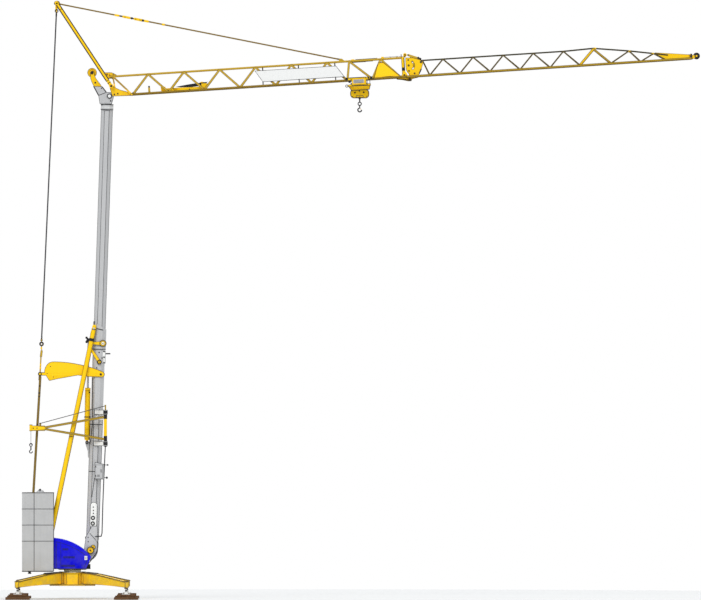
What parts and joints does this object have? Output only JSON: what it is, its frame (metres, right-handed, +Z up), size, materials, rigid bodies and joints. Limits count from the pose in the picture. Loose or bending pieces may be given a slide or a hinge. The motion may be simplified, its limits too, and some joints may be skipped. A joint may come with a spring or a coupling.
{
  "type": "self-erecting tower crane",
  "caption": "Bottom-slewing tower crane with a telescoping mast, rear ballast, a folding lattice jib, a trolley and a hook block, standing on jacks and timber stacks.",
  "frame": {"origin": "on the slewing axis, at the level of the timber stacks' undersides", "axes": "+X along the jib towards its tip, +Y to the left, +Z up"},
  "size_m": [29.4812, 5.63, 25.4266],
  "materials": {
    "yellow_paint": "semi-gloss enamel",
    "grey_paint": "semi-gloss enamel",
    "blue_cover": "gloss enamel",
    "concrete": "cast concrete, matt",
    "timber": "rough sawn, weathered",
    "dark_steel": "black paint, worn",
    "bright_steel": "ground and chromed",
    "bare_steel": "machined, oiled",
    "white_panel": "satin white",
    "wire_rope": "greased strand"
  },
  "bodies": {
    "chassis": {"base_hub": "yellow_paint", "outriggers": "yellow_paint", "levelling_jacks": "dark_steel", "timber_stacks": "timber", "slew_ring_lower": "bare_steel"},
    "platform": {"slew_ring_upper": "bare_steel", "platform_frame": "dark_steel", "machinery_cover": "blue_cover", "ballast_base": "concrete", "ballast_block_1": "concrete", "ballast_block_2": "concrete", "ballast_block_3": "concrete", "ballast_lifting_plates": "grey_paint", "lower_mast": "grey_paint", "mast_foot": "grey_paint", "foot_sheaves": "yellow_paint", "back_struts": "yellow_paint", "strut_crosshead": "dark_steel", "erecting_cylinder": "yellow_paint", "cylinder_rod": "bright_steel", "strut_links": "yellow_paint", "spreader_arms": "yellow_paint", "rear_ties": "yellow_paint", "rear_tie_fork": "yellow_paint", "rear_rope": "wire_rope", "control_cabinet": "grey_paint", "mast_line": "dark_steel", "davit_brackets": "grey_paint"},
    "davit": {"davit_boom": "yellow_paint", "davit_stay": "wire_rope", "davit_hook": "dark_steel"},
    "upper_mast": {"upper_mast": "grey_paint", "mast_head": "grey_paint", "head_arm": "yellow_paint", "head_sheave": "yellow_paint", "apex_strut": "yellow_paint", "forestay": "yellow_paint", "jib_root": "yellow_paint", "jib_inner_side_left": "yellow_paint", "jib_inner_side_right": "yellow_paint", "jib_inner_top_chord": "yellow_paint", "jib_inner_floor": "yellow_paint", "jib_end_frame": "yellow_paint", "sign_panel": "white_panel", "trolley_winch": "yellow_paint"},
    "jib_tip": {"fold_hinge_plates": "yellow_paint", "jib_outer_side_left": "yellow_paint", "jib_outer_side_right": "yellow_paint", "jib_outer_rails": "yellow_paint", "jib_outer_top_chord": "yellow_paint", "jib_outer_floor": "yellow_paint", "jib_tip_frame": "yellow_paint", "jib_tip_sheave": "dark_steel"},
    "trolley": {"trolley_side_plates": "yellow_paint", "trolley_cage": "yellow_paint", "trolley_wheels": "dark_steel", "trolley_sheaves": "dark_steel", "hoist_falls": "wire_rope"},
    "hook_block": {"hook_block": "yellow_paint"},
    "hook": {"load_hook": "dark_steel"}
  },
  "joints": [
    {"name": "slew", "type": "hinge", "parent": "chassis", "child": "platform", "pos_m": [0, 0, 1.2], "axis": [0, 0, 1], "continuous": true},
    {"name": "davit_swing", "type": "hinge", "parent": "platform", "child": "davit", "pos_m": [1.405, -0.56, 7.2], "axis": [0, 0, 1], "range_deg": [0, 180]},
    {"name": "mast_telescope", "type": "slide", "parent": "platform", "child": "upper_mast", "axis": [-0.0337, 0, -0.9994], "range_m": [0, 7.2], "deforming": ["rear_rope"]},
    {"name": "jib_fold", "type": "hinge", "parent": "upper_mast", "child": "jib_tip", "pos_m": [14.34027, 0, 22.07764], "axis": [0, 1, 0], "range_deg": [0, 140]},
    {"name": "trolley_travel", "type": "slide", "parent": "upper_mast", "child": "trolley", "axis": [-0.9979, 0, -0.0643], "range_m": [-12.4, 8.6]},
    {"name": "hoist", "type": "slide", "parent": "trolley", "child": "hook_block", "axis": [0, 0, 1], "range_m": [-20.2, 0], "deforming": ["hoist_falls"]},
    {"name": "hook_swivel", "type": "hinge", "parent": "hook_block", "child": "hook", "pos_m": [12.20603, 0, 20.78289], "axis": [0, 0, 1], "continuous": true}
  ]
}
